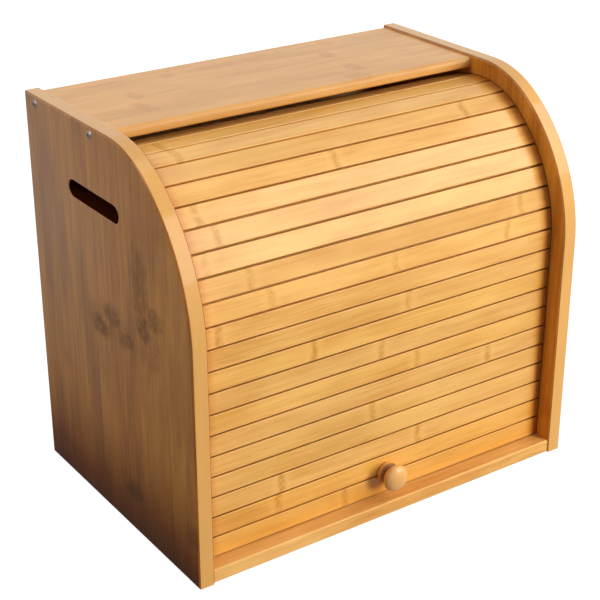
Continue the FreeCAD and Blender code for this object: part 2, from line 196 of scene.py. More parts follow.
class BreadBoxBoards(bpy.types.PropertyGroup):
    """Colours of the boards."""

    # painted shade: the left side panel's colours are darker and deeper orange than the right one's
    left_shaded_light: colour("Side Light", "Light fibres of the side panels", (0.79, 0.322, 0.053))
    left_shaded_dark: colour("Side Dark", "Dark fibres of the side panels", (0.50, 0.182, 0.028))
    right_light: colour("Right Light", "Light fibres of the right side panel", (0.86, 0.42, 0.105))
    right_dark: colour("Right Dark", "Dark fibres of the right side panel", (0.60, 0.245, 0.048))
    top_light: colour("Top Light", "Light fibres of the top board", (0.83, 0.43, 0.120))
    top_dark: colour("Top Dark", "Dark fibres of the top board", (0.63, 0.285, 0.066))
    base_light: colour("Base Light", "Light fibres of the bottom board", (0.86, 0.485, 0.145))
    base_dark: colour("Base Dark", "Dark fibres of the bottom board", (0.66, 0.29, 0.055))
    inner_light: colour("Inner Light", "Light fibres of the shelf and back", (0.86, 0.51, 0.205))
    inner_dark: colour("Inner Dark", "Dark fibres of the shelf and back", (0.62, 0.36, 0.12))
    strip: length("Strip Width", "Width of the strips that the boards are glued from", 24 * MM)


class BreadBoxKnob(bpy.types.PropertyGroup):
    """Sizes and colours of the turned knob."""

    foot_radius: length("Foot Radius", "Rounded foot on the slats", 10 * MM)
    waist_radius: length("Waist Radius", "Groove between foot and head", 7.6 * MM)
    head_radius: length("Head Radius", "Ball-like head", (KNOB_HIGH.x - KNOB_LOW.x) / 2)
    foot_height: length("Foot Height", "From the slats to the groove", KNOB_GROOVE)
    length: length("Length", "From the slats to the tip", KNOB_HIGH.y - KNOB_LOW.y)
    light: colour("Light Fibres", "Colour between the dark fibres", (0.93, 0.54, 0.185))
    dark: colour("Dark Fibres", "Colour of the dark fibres", (0.74, 0.35, 0.085))


class BreadBoxScrews(bpy.types.PropertyGroup):
    """The screws' metal."""

    metal: colour("Metal", "Zinc-plated steel", (0.30, 0.27, 0.25))


class BreadBoxStage(bpy.types.PropertyGroup):
    """The camera, the lamps and the floor."""

    camera_place: FloatVectorProperty(
        name="Camera", description="Place of the camera", default=(-0.6963, -1.0025, 0.7264),
        subtype="TRANSLATION"
    )
    camera_target: FloatVectorProperty(
        name="Target", description="Point in the middle of the view", default=(-0.0074, 0.0, 0.1593),
        subtype="TRANSLATION"
    )
    camera_roll: FloatProperty(
        name="Roll", description="Turn about the view axis", default=math.radians(-0.066), subtype="ANGLE"
    )
    lens: FloatProperty(name="Lens", description="Focal length", default=88.71, min=1.0, unit="CAMERA")
    floor_size: length("Floor Size", "Side of the square floor", 12.0)
    key_power: power("Key Power", "Soft box at the front right", 35.5)
    side_power: power("Side Power", "Low soft box further round to the right", 48.0)
    top_power: power("Top Power", "Soft box overhead", 7.0)
    back_power: power("Back Power", "Soft box behind", 30.0)
    left_power: power("Left Power", "Small soft box above the left side", 2.2)
    world_level: factor("World Level", "Even light from all around", 0.2)


# ---------------------------------------------------------------- node helpers
class Graph:
    """Shorthand for adding nodes to a tree and wiring them up."""

    def __init__(self, tree):
        self.tree = tree

    def add(self, kind, inputs=None, **settings):
        node = self.tree.nodes.new(kind)
        for name, value in settings.items():
            setattr(node, name, value)
        for key, value in (inputs or {}).items():
            self.feed(node.inputs[key], value)
        return node

    def feed(self, socket, value):
        if isinstance(value, bpy.types.NodeSocket):
            self.tree.links.new(value, socket)
        else:
            socket.default_value = value

    def math(self, operation, *values):
        node = self.add("ShaderNodeMath", operation=operation)
        for socket, value in zip(node.inputs, values):
            self.feed(socket, value)
        return node.outputs[0]

    def times(self, a, b):
        return self.math("MULTIPLY", a, b)

    def plus(self, a, b):
        return self.math("ADD", a, b)

    def minus(self, a, b):
        return self.math("SUBTRACT", a, b)

    def over(self, a, b):
        return self.math("DIVIDE", a, b)

    def size(self, value):
        return self.math("ABSOLUTE", value)

    def parts(self, vector):
        return self.add("ShaderNodeSeparateXYZ", {0: vector}).outputs

    def powers(self, value, green=1.0, blue=1.0):
        """A colour factor: the value in red, and raised to these powers in green and blue."""
        green = value if green == 1.0 else self.math("POWER", value, green)
        blue = value if blue == 1.0 else self.math("POWER", value, blue)
        return self.add("ShaderNodeCombineColor", {0: value, 1: green, 2: blue}).outputs[0]

    def ramp(self, value, low, high, to_low=0.0, to_high=1.0, smooth=True):
        node = self.add("ShaderNodeMapRange", {0: value, 1: low, 2: high, 3: to_low, 4: to_high})
        node.interpolation_type = "SMOOTHSTEP" if smooth else "LINEAR"
        return node.outputs[0]

    def xyz(self, x, y, z):
        return self.add("ShaderNodeCombineXYZ", {0: x, 1: y, 2: z}).outputs[0]

    def stretched(self, along, across, deep, slow, fast):
        """Fibre space: slow along the fibres and fast across them, in cells per metre."""
        return self.xyz(self.times(along, slow), self.times(across, fast),
                        self.times(deep, fast))

    def noise(self, vector, scale, detail=2.0, roughness=0.5):
        return self.add("ShaderNodeTexNoise", {
            "Vector": vector, "Scale": scale, "Detail": detail, "Roughness": roughness}).outputs[0]

    def mix(self, share, a, b, blend="MIX"):
        node = self.add("ShaderNodeMix", data_type="RGBA", blend_type=blend)
        for socket, value in ((node.inputs[0], share), (node.inputs[6], a), (node.inputs[7], b)):
            self.feed(socket, value)
        return node.outputs[2]


def rgba(values, lift=1.0):
    return tuple(min(1.0, value * lift) for value in values) + (1.0,)


def new_group(name, kind, inputs, outputs):
    """A node group with these named sockets; inputs are (name, socket type, default)."""
    tree = bpy.data.node_groups.new(name, kind)
    for label, socket_type, default in inputs:
        socket = tree.interface.new_socket(label, in_out="INPUT", socket_type=socket_type)
        if default is not None:
            socket.default_value = default
    for label, socket_type in outputs:
        tree.interface.new_socket(label, in_out="OUTPUT", socket_type=socket_type)
    graph = Graph(tree)
    return graph, graph.add("NodeGroupInput").outputs, graph.add("NodeGroupOutput").inputs


# ---------------------------------------------------------------- shared shader groups
def joint_group():
    """One joint of the cane: a ragged brown band across the fibres, as a mask from 0 to 1."""
    found = bpy.data.node_groups.get("cane_joint")
    if found:
        return found
    graph, given, result = new_group(
        "cane_joint",
        "ShaderNodeTree",
        (
            ("Along", "NodeSocketFloat", 0.0),
            ("Across", "NodeSocketFloat", 0.0),
            ("Seed", "NodeSocketFloat", 0.0),
        ),
        (("Mark", "NodeSocketFloat"),),
    )
    along, across = given["Along"], given["Across"]
    wave = graph.noise(graph.xyz(graph.times(across, 130.0), given["Seed"], 0.0), 1.0, 2.0)
    hairs = graph.noise(graph.xyz(graph.times(across, 620.0), given["Seed"], 0.0), 1.0, 1.0)
    bend = graph.plus(graph.times(graph.minus(wave, 0.5), 0.006),
                      graph.times(graph.minus(hairs, 0.5), 0.003))
    soft = graph.ramp(graph.size(graph.plus(along, bend)), 0.0004, 0.0056, 1.0, 0.0)
    spot = graph.xyz(graph.times(along, 340.0), graph.times(across, 260.0), given["Seed"])
    blots = graph.noise(spot, 1.0, 3.0)
    graph.feed(result["Mark"], graph.times(soft, graph.ramp(blots, 0.34, 0.60, 0.35, 1.0)))
    return graph.tree


def bamboo_group():
    """Strips of split bamboo glued side by side: fibres along X, strips across Y, joints at even steps."""
    found = bpy.data.node_groups.get("bamboo")
    if found:
        return found
    graph, given, result = new_group(
        "bamboo",
        "ShaderNodeTree",
        (
            ("Vector", "NodeSocketVector", None),
            ("Strip Width", "NodeSocketFloat", 0.02),
            ("Joint Spacing", "NodeSocketFloat", 0.3),
            ("Joint Strength", "NodeSocketFloat", 1.0),
            ("Strip Contrast", "NodeSocketFloat", 0.25),
            ("Fibre Contrast", "NodeSocketFloat", 0.5),
            ("Light", "NodeSocketColor", (0.8, 0.5, 0.2, 1.0)),
            ("Dark", "NodeSocketColor", (0.5, 0.3, 0.1, 1.0)),
            ("Joint", "NodeSocketColor", (0.3, 0.2, 0.05, 1.0)),
        ),
        (("Color", "NodeSocketColor"), ("Roughness", "NodeSocketFloat"), ("Height", "NodeSocketFloat")),
    )
    place = graph.parts(given["Vector"])
    along, across, deep = place[0], place[1], place[2]
    strip = graph.math("FLOOR", graph.over(across, given["Strip Width"]))
    chance = graph.add("ShaderNodeTexWhiteNoise", {"W": strip}, noise_dimensions="1D")
    tone = chance.outputs["Value"]
    depth = graph.add("ShaderNodeSeparateColor", {0: chance.outputs["Color"]}).outputs[2]

    # long fibres, a little wavy: fine ones, wider streaks and slow clouds
    moved = graph.plus(along, graph.times(tone, 3.7))
    sway = graph.noise(graph.stretched(moved, across, deep, 9.0, 22.0), 1.0, 2.0, 0.5)
    swayed = graph.plus(across, graph.times(graph.minus(sway, 0.5), 0.005))
    fine = graph.noise(graph.stretched(moved, swayed, deep, 16.0, 950.0), 1.0, 3.0, 0.6)
    streak = graph.noise(graph.stretched(moved, swayed, deep, 8.0, 260.0), 1.0, 3.0, 0.6)
    cloud = graph.noise(graph.stretched(moved, across, deep, 10.0, 48.0), 1.0, 3.0, 0.55)
    groups = graph.noise(graph.stretched(moved, swayed, deep, 4.0, 70.0), 1.0, 2.0, 0.5)
    grouped = graph.ramp(groups, 0.42, 0.62)
    lines = graph.times(graph.ramp(fine, 0.50, 0.70), grouped)
    fibre = graph.times(graph.minus(fine, 0.5), -0.3)
    fibre = graph.plus(fibre, graph.times(graph.minus(streak, 0.5), 0.8))
    fibre = graph.plus(fibre, graph.times(graph.minus(cloud, 0.5), 1.5))
    fibre = graph.minus(fibre, graph.times(graph.minus(lines, 0.15), 0.42))
    fibre = graph.times(fibre, given["Fibre Contrast"])
    toned = graph.times(graph.minus(tone, 0.5), given["Strip Contrast"])
    share = graph.add("ShaderNodeClamp", {0: graph.plus(graph.plus(fibre, toned), 0.5)}).outputs[0]
    base = graph.mix(share, given["Dark"], given["Light"])

    # joints of the cane across one strip, each in a slightly paler patch
    turns = graph.over(along, given["Joint Spacing"])
    cell = graph.math("FLOOR", turns)
    offset = graph.times(graph.minus(graph.math("FRACT", turns), 0.5), given["Joint Spacing"])
    joint = graph.add("ShaderNodeGroup", node_tree=joint_group())
    seed = graph.plus(graph.times(strip, 1.7), graph.times(cell, 0.61))
    for key, value in (("Along", offset), ("Across", across), ("Seed", seed)):
        graph.feed(joint.inputs[key], value)
    pale = graph.ramp(graph.size(offset), 0.004, 0.014, 0.5, 0.0)
    base = graph.mix(graph.times(pale, given["Joint Strength"]), base, given["Light"])
    mark = graph.times(joint.outputs["Mark"], given["Joint Strength"])
    mark = graph.times(mark, graph.plus(0.6, graph.times(depth, 0.4)))
    graph.feed(result["Color"], graph.mix(mark, base, given["Joint"]))
    graph.feed(result["Roughness"], graph.ramp(fine, 0.25, 0.75, 0.32, 0.42))
    graph.feed(result["Height"], graph.minus(graph.times(fine, 0.5), graph.times(mark, 0.5)))
    return graph.tree


def wear_group():
    """Soft unevenness of a lacquer coat, and faint scuffs: a colour factor and a roughness to add."""
    found = bpy.data.node_groups.get("lacquer_wear")
    if found:
        return found
    graph, given, result = new_group(
        "lacquer_wear",
        "ShaderNodeTree",
        (("Vector", "NodeSocketVector", None), ("Amount", "NodeSocketFloat", 1.0)),
        (("Shade", "NodeSocketFloat"), ("Roughness", "NodeSocketFloat")),
    )
    wide = graph.noise(given["Vector"], 7.0, 3.0, 0.55)
    small = graph.noise(given["Vector"], 60.0, 3.0, 0.6)
    shade = graph.times(graph.minus(wide, 0.5), graph.times(given["Amount"], 0.22))
    graph.feed(result["Shade"], graph.plus(1.0, shade))
    rough = graph.times(graph.minus(small, 0.5), graph.times(given["Amount"], 0.12))
    graph.feed(result["Roughness"], rough)
    return graph.tree


# ---------------------------------------------------------------- materials
def new_material(name):
    material = bpy.data.materials.new(name)
    material.use_nodes = True
    graph = Graph(material.node_tree)
    shader = material.node_tree.nodes["Principled BSDF"]
    return material, graph, shader


def bamboo_material(name, light, dark, turn, strip, strip_contrast=0.3, fibre_contrast=0.5, coat=0.25,
                    specular=0.25, bump=0.25, joint_strength=0.0, joint_colour=None, joint_gap=None,
                    uv=False, shade=None):
    """Lacquered bamboo. turn is the axis of the object's space, or of its UV map, along which the fibres run.

    joint_gap names the mesh attribute that holds the spacing of the cane's joints.
    """
    material, graph, shader = new_material(name)
    coordinates = graph.add("ShaderNodeTexCoord").outputs
    split = graph.parts(coordinates["UV" if uv else "Object"])
    order = {"X": (0, 1, 2), "Y": (1, 0, 2), "Z": (2, 1, 0)}[turn]
    bamboo = graph.add("ShaderNodeGroup", node_tree=bamboo_group())
    values = {
        "Vector": graph.xyz(*(split[i] for i in order)), "Strip Width": strip,
        "Joint Strength": joint_strength, "Joint": joint_colour or rgba(dark, 0.5),
        "Strip Contrast": strip_contrast, "Fibre Contrast": fibre_contrast,
        "Light": rgba(light), "Dark": rgba(dark),
    }
    if joint_gap:
        values["Joint Spacing"] = graph.add("ShaderNodeAttribute", attribute_name=joint_gap).outputs["Fac"]
    for key, value in values.items():
        graph.feed(bamboo.inputs[key], value)
    wear = graph.add("ShaderNodeGroup", node_tree=wear_group())
    graph.feed(wear.inputs["Vector"], coordinates["Object"])
    colour_out = graph.mix(1.0, bamboo.outputs["Color"], graph.powers(wear.outputs["Shade"]), "MULTIPLY")
    if shade:
        colour_out, coat_mask = shade(graph, coordinates["Object"], colour_out)
        if coat_mask:
            graph.feed(shader.inputs["Coat Weight"], graph.times(coat_mask, coat))
    graph.feed(shader.inputs["Base Color"], colour_out)
    rough = graph.plus(bamboo.outputs["Roughness"], wear.outputs["Roughness"])
    graph.feed(shader.inputs["Roughness"], rough)
    relief = graph.add("ShaderNodeBump", {
        "Strength": bump, "Distance": 0.0003, "Height": bamboo.outputs["Height"]})
    graph.feed(shader.inputs["Normal"], relief.outputs[0])
    if not shader.inputs["Coat Weight"].is_linked:
        shader.inputs["Coat Weight"].default_value = coat
    shader.inputs["Coat Roughness"].default_value = 0.10
    shader.inputs["Specular IOR Level"].default_value = specular
    return material


def stain_mask(graph, across, along, stains):
    """Soft mottled ovals at these places, as a mask from 0 to 1."""
    close = graph.xyz(graph.times(across, 330.0), graph.times(along, 170.0), 0.0)
    mottle = graph.noise(close, 1.0, 4.0, 0.65)
    broad = graph.noise(graph.xyz(graph.times(across, 75.0), graph.times(along, 75.0), 5.0), 1.0, 3.0)
    ragged = graph.times(graph.minus(broad, 0.5), 3.0)
    mottle = graph.ramp(mottle, 0.30, 0.62, 0.40, 1.0)
    mask = 0.0
    for side, height, half_across, half_along, strength in stains:
        wide = graph.over(graph.minus(across, side * MM), half_across * MM)
        tall = graph.over(graph.minus(along, height * MM), half_along * MM)
        reach = graph.plus(graph.times(wide, wide), graph.times(tall, tall))
        mask = graph.math("MAXIMUM", mask, graph.ramp(graph.plus(reach, ragged), 0.0, 1.7, strength, 0.0))
    return graph.times(mask, mottle)


def slat_tint(graph, place, tint):
    """Each slat's own tint, from an attribute of its mesh (on the two lowest slats also painted shade), and
    painted shade that turns the ends a little browner next to the side panels.
    """
    reach = graph.size(graph.parts(place)[0])
    # painted shade: ends near the side panels turn browner
    end_shade_share = graph.ramp(reach, SLAT_HIGH.x - 16 * MM, SLAT_HIGH.x - 2 * MM)
    tint = graph.mix(end_shade_share, tint, graph.mix(1.0, tint, END_SHADE, "MULTIPLY"))
    own = graph.add("ShaderNodeAttribute", attribute_name="tint").outputs["Vector"]
    return graph.mix(1.0, tint, own, "MULTIPLY"), None


def knob_shade(graph, place, tint):
    """The knob is darker down in its groove: painted shade in the groove."""
    out = graph.parts(place)[1]
    distance = graph.size(graph.minus(out, KNOB_HIGH.y - KNOB_GROOVE))
    # painted shade: darker towards the groove
    shade = graph.ramp(distance, 0.0004, 0.0042, 0.34, 1.0)
    factors = graph.powers(shade, 1.4, 1.9)
    return graph.mix(1.0, tint, factors, "MULTIPLY"), graph.math("POWER", shade, 2.0)


def panel_shade(graph, place, tint):
    """Side panels: edges lighter than the faces (painted light), inner faces tinted darker (painted shade),
    outer faces darker towards the foot (painted shade), and painted shade inside the hand-hole.
    """
    spot = graph.parts(place)
    facing = graph.parts(graph.add("ShaderNodeNewGeometry").outputs["True Normal"])
    flat = graph.ramp(graph.size(facing[0]), 0.2, 0.8)
    side = graph.size(spot[0])
    outside = graph.times(flat, graph.math("GREATER_THAN", side, -PANEL_LOW.x - 0.1 * MM))
    # painted shade: the outer faces darker towards the floor
    foot = graph.ramp(spot[2], -0.03, 0.12, 0.10, 1.0)
    foot = graph.plus(1.0, graph.times(outside, graph.minus(foot, 1.0)))
    aside = graph.size(graph.minus(spot[1], HAND_HOLE[0]))
    reach = graph.math("MAXIMUM", graph.minus(aside, HAND_HOLE[2]), 0.0)
    rise = graph.minus(spot[2], HAND_HOLE[1])
    distance = graph.math("SQRT", graph.plus(graph.times(reach, reach), graph.times(rise, rise)))
    # painted shade: the hand-hole's wall nearly black
    wall = graph.times(graph.math("LESS_THAN", distance, HAND_HOLE[3]), graph.minus(1.0, flat))
    hole_shade = graph.minus(1.0, graph.times(wall, 0.93))
    edge = graph.times(graph.minus(1.0, flat), graph.minus(1.0, wall))
    left = graph.math("LESS_THAN", spot[0], 0.0)
    strength = graph.ramp(left, 0.0, 1.0, RIGHT_STAIN, 1.0)
    stain = graph.times(stain_mask(graph, spot[1], spot[2], PANEL_STAINS), strength)
    marked = graph.mix(graph.times(stain, flat), tint, JOINT_BROWN)
    # painted light: edges lighter than the faces
    lit_and_shaded = graph.mix(graph.times(edge, 0.85), marked, LIT_EDGE_COLOUR)
    # painted shade: inner faces tinted darker
    inside = graph.minus(flat, outside)
    lit_and_shaded = graph.mix(inside, lit_and_shaded, graph.mix(1.0, lit_and_shaded, INNER_FACE_SHADE, "MULTIPLY"))
    # darker along the rounded arris between face and edge
    arris = graph.times(graph.times(flat, graph.minus(1.0, flat)), 2.2)
    factor = graph.times(graph.times(foot, hole_shade), graph.minus(1.0, arris))
    factors = graph.powers(factor, 1.35, 1.9)
    gloss = graph.times(graph.ramp(spot[2], 0.03, 0.26, 0.0, 1.0, smooth=False),
                       graph.ramp(spot[1], -0.10, 0.10, 0.45, 1.0, smooth=False))
    gloss = graph.times(gloss, graph.minus(1.0, graph.times(stain, 0.6)))
    gloss = graph.plus(graph.times(flat, gloss), graph.times(edge, 0.7))
    return graph.mix(1.0, lit_and_shaded, factors, "MULTIPLY"), gloss


def top_shade(graph, place, tint):
    """The top board's stains, and its edges a little darker than its face: painted shade on the edges."""
    spot = graph.parts(place)
    up = graph.parts(graph.add("ShaderNodeNewGeometry").outputs["True Normal"])[2]
    # painted shade: edges darker than the face
    factor = graph.ramp(graph.size(up), 0.5, 1.0, 0.82, 1.0)
    marked = graph.mix(stain_mask(graph, spot[1], spot[0], TOP_STAINS), tint, TOP_BROWN)
    return graph.mix(1.0, marked, graph.powers(factor), "MULTIPLY"), None


def metal_material(name, tint):
    material, graph, shader = new_material(name)
    place = graph.add("ShaderNodeTexCoord").outputs["Object"]
    grain = graph.noise(place, 2400.0, 2.0, 0.6)
    spots = graph.noise(place, 500.0, 3.0, 0.6)
    share = graph.ramp(spots, 0.35, 0.7)
    graph.feed(shader.inputs["Base Color"], graph.mix(share, rgba(tint), rgba(tint, 0.72)))
    graph.feed(shader.inputs["Roughness"], graph.ramp(grain, 0.2, 0.8, 0.24, 0.40))
    shader.inputs["Metallic"].default_value = 1.0
    return material


def canvas_material(name, tint):
    material, graph, shader = new_material(name)
    split = graph.parts(graph.add("ShaderNodeTexCoord").outputs["UV"])
    warp = graph.math("SINE", graph.times(split[0], 6283.0))
    weft = graph.math("SINE", graph.times(split[1], 6283.0))
    weave = graph.times(graph.plus(graph.times(warp, weft), 1.0), 0.5)
    graph.feed(shader.inputs["Base Color"], graph.mix(weave, rgba(tint, 0.7), rgba(tint, 1.3)))
    graph.feed(shader.inputs["Roughness"], graph.ramp(weave, 0.0, 1.0, 0.95, 0.8))
    relief = graph.add("ShaderNodeBump", {"Strength": 0.4, "Distance": 0.0002, "Height": weave})
    graph.feed(shader.inputs["Normal"], relief.outputs[0])
    return material


# ---------------------------------------------------------------- track
def track_pieces(track):
    """Straight and curved pieces of the slats' track: (length, start or centre, heading, radius or None)."""
    panel_front, panel_rear, panel_top = PANEL_LOW.y, PANEL_HIGH.y, PANEL_HIGH.z
    inset = track.recess + (SLAT_HIGH.y - SLAT_LOW.y) / 2
    turn_1 = track.arc_1_angle
    turn_2 = math.pi / 2 - turn_1
    radius_1, radius_2 = track.arc_1_radius, track.arc_2_radius
    arc_z = panel_top - radius_1 * math.sin(turn_1) - radius_2 * (1 - math.sin(turn_1))
    centre_1 = Vector((0, panel_front + radius_1, arc_z))
    step = radius_1 - radius_2
    centre_2 = centre_1 + Vector((0, -step * math.cos(turn_1), step * math.sin(turn_1)))
    rear_y = panel_rear - track.rear_inset
    radius_3 = rear_y - centre_2.y - track.flat
    centre_3 = Vector((0, rear_y - radius_3, panel_top - inset - radius_3))
    return (
        (arc_z - track.floor_z, Vector((0, panel_front + inset, track.floor_z)), 0.0, None),
        ((radius_1 - inset) * turn_1, centre_1, 0.0, radius_1 - inset),
        ((radius_2 - inset) * turn_2, centre_2, turn_1, radius_2 - inset),
        (track.flat, Vector((0, centre_2.y, panel_top - inset)), math.pi / 2, None),
        (radius_3 * math.pi / 2, centre_3, math.pi / 2, radius_3),
    )


def track_point(track, distance):
    """Middle of a slat at this distance along the track, and the heading there: 0 up, a quarter turn back."""
    for span, start, heading, radius in track_pieces(track):
        if distance <= span:
            if radius is None:
                return start + distance * Vector((0, math.sin(heading), math.cos(heading))), heading
            heading += distance / radius
            return start + radius * Vector((0, -math.cos(heading), math.sin(heading))), heading
        distance -= span
    raise ValueError("the slats run past the modelled track")


# ---------------------------------------------------------------- geometry node helpers
def baked(name, tree, values):
    """The plain mesh that a geometry node tree makes with these named inputs, as a new object."""
    mesh = bpy.data.meshes.new(name + "_seed")
    maker = bpy.data.objects.new(name, mesh)
    bpy.context.scene.collection.objects.link(maker)
    modifier = maker.modifiers.new("make", "NODES")
    modifier.node_group = tree
    sockets = {item.name: item.identifier for item in tree.interface.items_tree if item.in_out == "INPUT"}
    for key, value in values.items():
        modifier[sockets[key]] = value
    depsgraph = bpy.context.evaluated_depsgraph_get()
    result = bpy.data.meshes.new_from_object(maker.evaluated_get(depsgraph))
    maker.modifiers.clear()
    maker.data = result
    result.name = name
    bpy.data.meshes.remove(mesh)
    return maker


def finish_tree(graph, geometry, material, result):
    realized = graph.add("GeometryNodeRealizeInstances", {0: geometry}).outputs[0]
    dressed = graph.add("GeometryNodeSetMaterial", {"Geometry": realized, "Material": material}).outputs[0]
    graph.feed(result[0], dressed)


def bar_tree(name):
    """A bar along X with a rounded trapezoid section, laid at a place on the track, with its own UV map."""
    graph, given, result = new_group(
        name,
        "GeometryNodeTree",
        (
            ("Length", "NodeSocketFloat", 0.3),
            ("Outer Width", "NodeSocketFloat", 0.02),
            ("Inner Width", "NodeSocketFloat", 0.02),
            ("Thickness", "NodeSocketFloat", 0.005),
            ("Outer Edge", "NodeSocketFloat", 0.001),
            ("Inner Edge", "NodeSocketFloat", 0.0003),
            ("Place", "NodeSocketVector", None),
            ("Heading", "NodeSocketFloat", 0.0),
            ("Lift", "NodeSocketFloat", 0.0),
            ("Grain Shift", "NodeSocketVector", None),
            ("Tint", "NodeSocketVector", None),
            ("Joint Gap", "NodeSocketFloat", 0.5),
            ("Material", "NodeSocketMaterial", None),
        ),
        (("Geometry", "NodeSocketGeometry"),),
    )
    section = graph.add("GeometryNodeCurvePrimitiveQuadrilateral", {
        "Bottom Width": given["Outer Width"], "Top Width": given["Inner Width"],
        "Height": given["Thickness"], "Offset": 0.0}, mode="TRAPEZOID")
    side = graph.parts(graph.add("GeometryNodeInputPosition").outputs[0])[1]
    outer = graph.math("LESS_THAN", side, 0.0)
    radius = graph.plus(graph.times(outer, given["Outer Edge"]),
                        graph.times(graph.minus(1.0, outer), given["Inner Edge"]))
    rounded = graph.add("GeometryNodeFilletCurve", {
        "Curve": section.outputs[0], "Count": 4, "Radius": radius}, mode="POLY")
    half = graph.times(given["Length"], 0.5)
    rail = graph.add("GeometryNodeCurvePrimitiveLine", {
        "Start": graph.xyz(0.0, 0.0, graph.times(half, -1.0)), "End": graph.xyz(0.0, 0.0, half)})
    swept = graph.add("GeometryNodeCurveToMesh", {
        "Curve": rail.outputs[0], "Profile Curve": rounded.outputs[0], "Fill Caps": True})
    crisp = graph.add("GeometryNodeSetShadeSmooth", {"Geometry": swept.outputs[0], "Shade Smooth": False})
    flat = graph.add("GeometryNodeTransform", {
        "Geometry": crisp.outputs[0], "Rotation": (0.0, math.pi / 2, 0.0)})
    spot = graph.parts(graph.add("GeometryNodeInputPosition").outputs[0])
    across = graph.plus(graph.times(spot[2], 0.8), graph.times(spot[1], 0.3))
    chart = graph.add("ShaderNodeVectorMath", {
        0: graph.xyz(spot[0], across, 0.0), 1: given["Grain Shift"]}, operation="ADD")
    mapped = graph.add("GeometryNodeStoreNamedAttribute", {
        "Geometry": flat.outputs[0], "Name": "UVMap", "Value": chart.outputs[0]},
        data_type="FLOAT2", domain="CORNER")
    tinted = graph.add("GeometryNodeStoreNamedAttribute", {
        "Geometry": mapped.outputs[0], "Name": "tint", "Value": given["Tint"]},
        data_type="FLOAT_VECTOR", domain="POINT")
    gapped = graph.add("GeometryNodeStoreNamedAttribute", {
        "Geometry": tinted.outputs[0], "Name": "joint_gap", "Value": given["Joint Gap"]},
        data_type="FLOAT", domain="POINT")
    lifted = graph.add("GeometryNodeTransform", {
        "Geometry": gapped.outputs[0], "Translation": graph.xyz(0.0, graph.times(given["Lift"], -1.0), 0.0)})
    placed = graph.add("GeometryNodeTransform", {
        "Geometry": lifted.outputs[0], "Translation": given["Place"],
        "Rotation": graph.xyz(graph.times(given["Heading"], -1.0), 0.0, 0.0)})
    finish_tree(graph, placed.outputs[0], given["Material"], result)
    return graph.tree


def dress(piece, body, slot, *replaced):
    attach(piece, body)
    if replaced:
        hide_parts(*replaced)


# ---------------------------------------------------------------- operators
class BREADBOX_OT_slats(bpy.types.Operator):
    """Make the slats, each riding on its own body."""

    bl_idname = "breadbox.slats"
    bl_label = "Slats"

    def execute(self, context):
        slats, track = context.scene.bread_box_slats, context.scene.bread_box_track
        tree = bar_tree("tambour_slat")
        wood = bamboo_material("slat_bamboo", slats.light, slats.dark, "X", slats.pitch,
                               joint_strength=0.85, joint_colour=SLAT_JOINT_BROWN, joint_gap="joint_gap",
                               strip_contrast=0.0, fibre_contrast=1.5, coat=0.6, uv=True, shade=slat_tint)
        draw = random.Random(slats.tone_seed)
        for index, name in enumerate(SLAT_NAMES):
            value, warmth = (draw.uniform(-slats.tone_spread, slats.tone_spread) for _ in range(2))
            # painted shade: the two lowest slats take the darker, more orange lead tone
            lead = slats.lead_shade_tone if index < 2 else (1.0, 1.0, 1.0)
            tone = [share * part for share, part in zip(lead, (1 + value, 1 + value, 1 + value - 2 * warmth))]
            centre, heading = track_point(track, (index + 0.5) * slats.pitch)
            joint, gap = (part * MM for part in SLAT_JOINTS[index])
            piece = baked(name + "_wood", tree, {
                "Length": slats.length, "Outer Width": slats.outer_width, "Inner Width": slats.inner_width,
                "Thickness": slats.thickness, "Outer Edge": slats.edge, "Inner Edge": slats.inner_edge,
                "Place": centre, "Heading": heading, "Lift": 0.0, "Joint Gap": gap,
                "Tint": tone,
                "Grain Shift": (gap / 2 - joint, (index + 0.5) * slats.pitch, 0.0),
                "Material": wood})
            dress(piece, frame["nodes"][name]["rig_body"], "slat_bamboo", name)
        return {"FINISHED"}


class BREADBOX_OT_canvas(bpy.types.Operator):
    """Make the backing cloth as one strip behind each slat from the third up, so that it follows the slats.
    """

    bl_idname = "breadbox.canvas"
    bl_label = "Canvas"

    def execute(self, context):
        slats, track = context.scene.bread_box_slats, context.scene.bread_box_track
        tree = bar_tree("canvas_strip")
        cloth = canvas_material("canvas", slats.canvas)
        width = slats.pitch - slats.canvas_gap
        behind = (slats.thickness + slats.canvas_thickness) / 2 + 0.05 * MM
        for index, name in enumerate(SLAT_NAMES[2:], start=2):
            centre, heading = track_point(track, (index + 0.5) * slats.pitch)
            piece = baked("canvas_" + name[-2:], tree, {
                "Length": slats.length - 2 * slats.canvas_inset, "Outer Width": width,
                "Inner Width": width - slats.canvas_taper, "Thickness": slats.canvas_thickness,
                "Outer Edge": 0.1 * MM, "Inner Edge": 0.1 * MM, "Place": centre, "Heading": heading,
                "Lift": -behind, "Grain Shift": (0.0, index * slats.pitch, 0.0), "Material": cloth})
            dress(piece, frame["nodes"][name]["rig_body"], "canvas", "tambour_canvas")
        return {"FINISHED"}


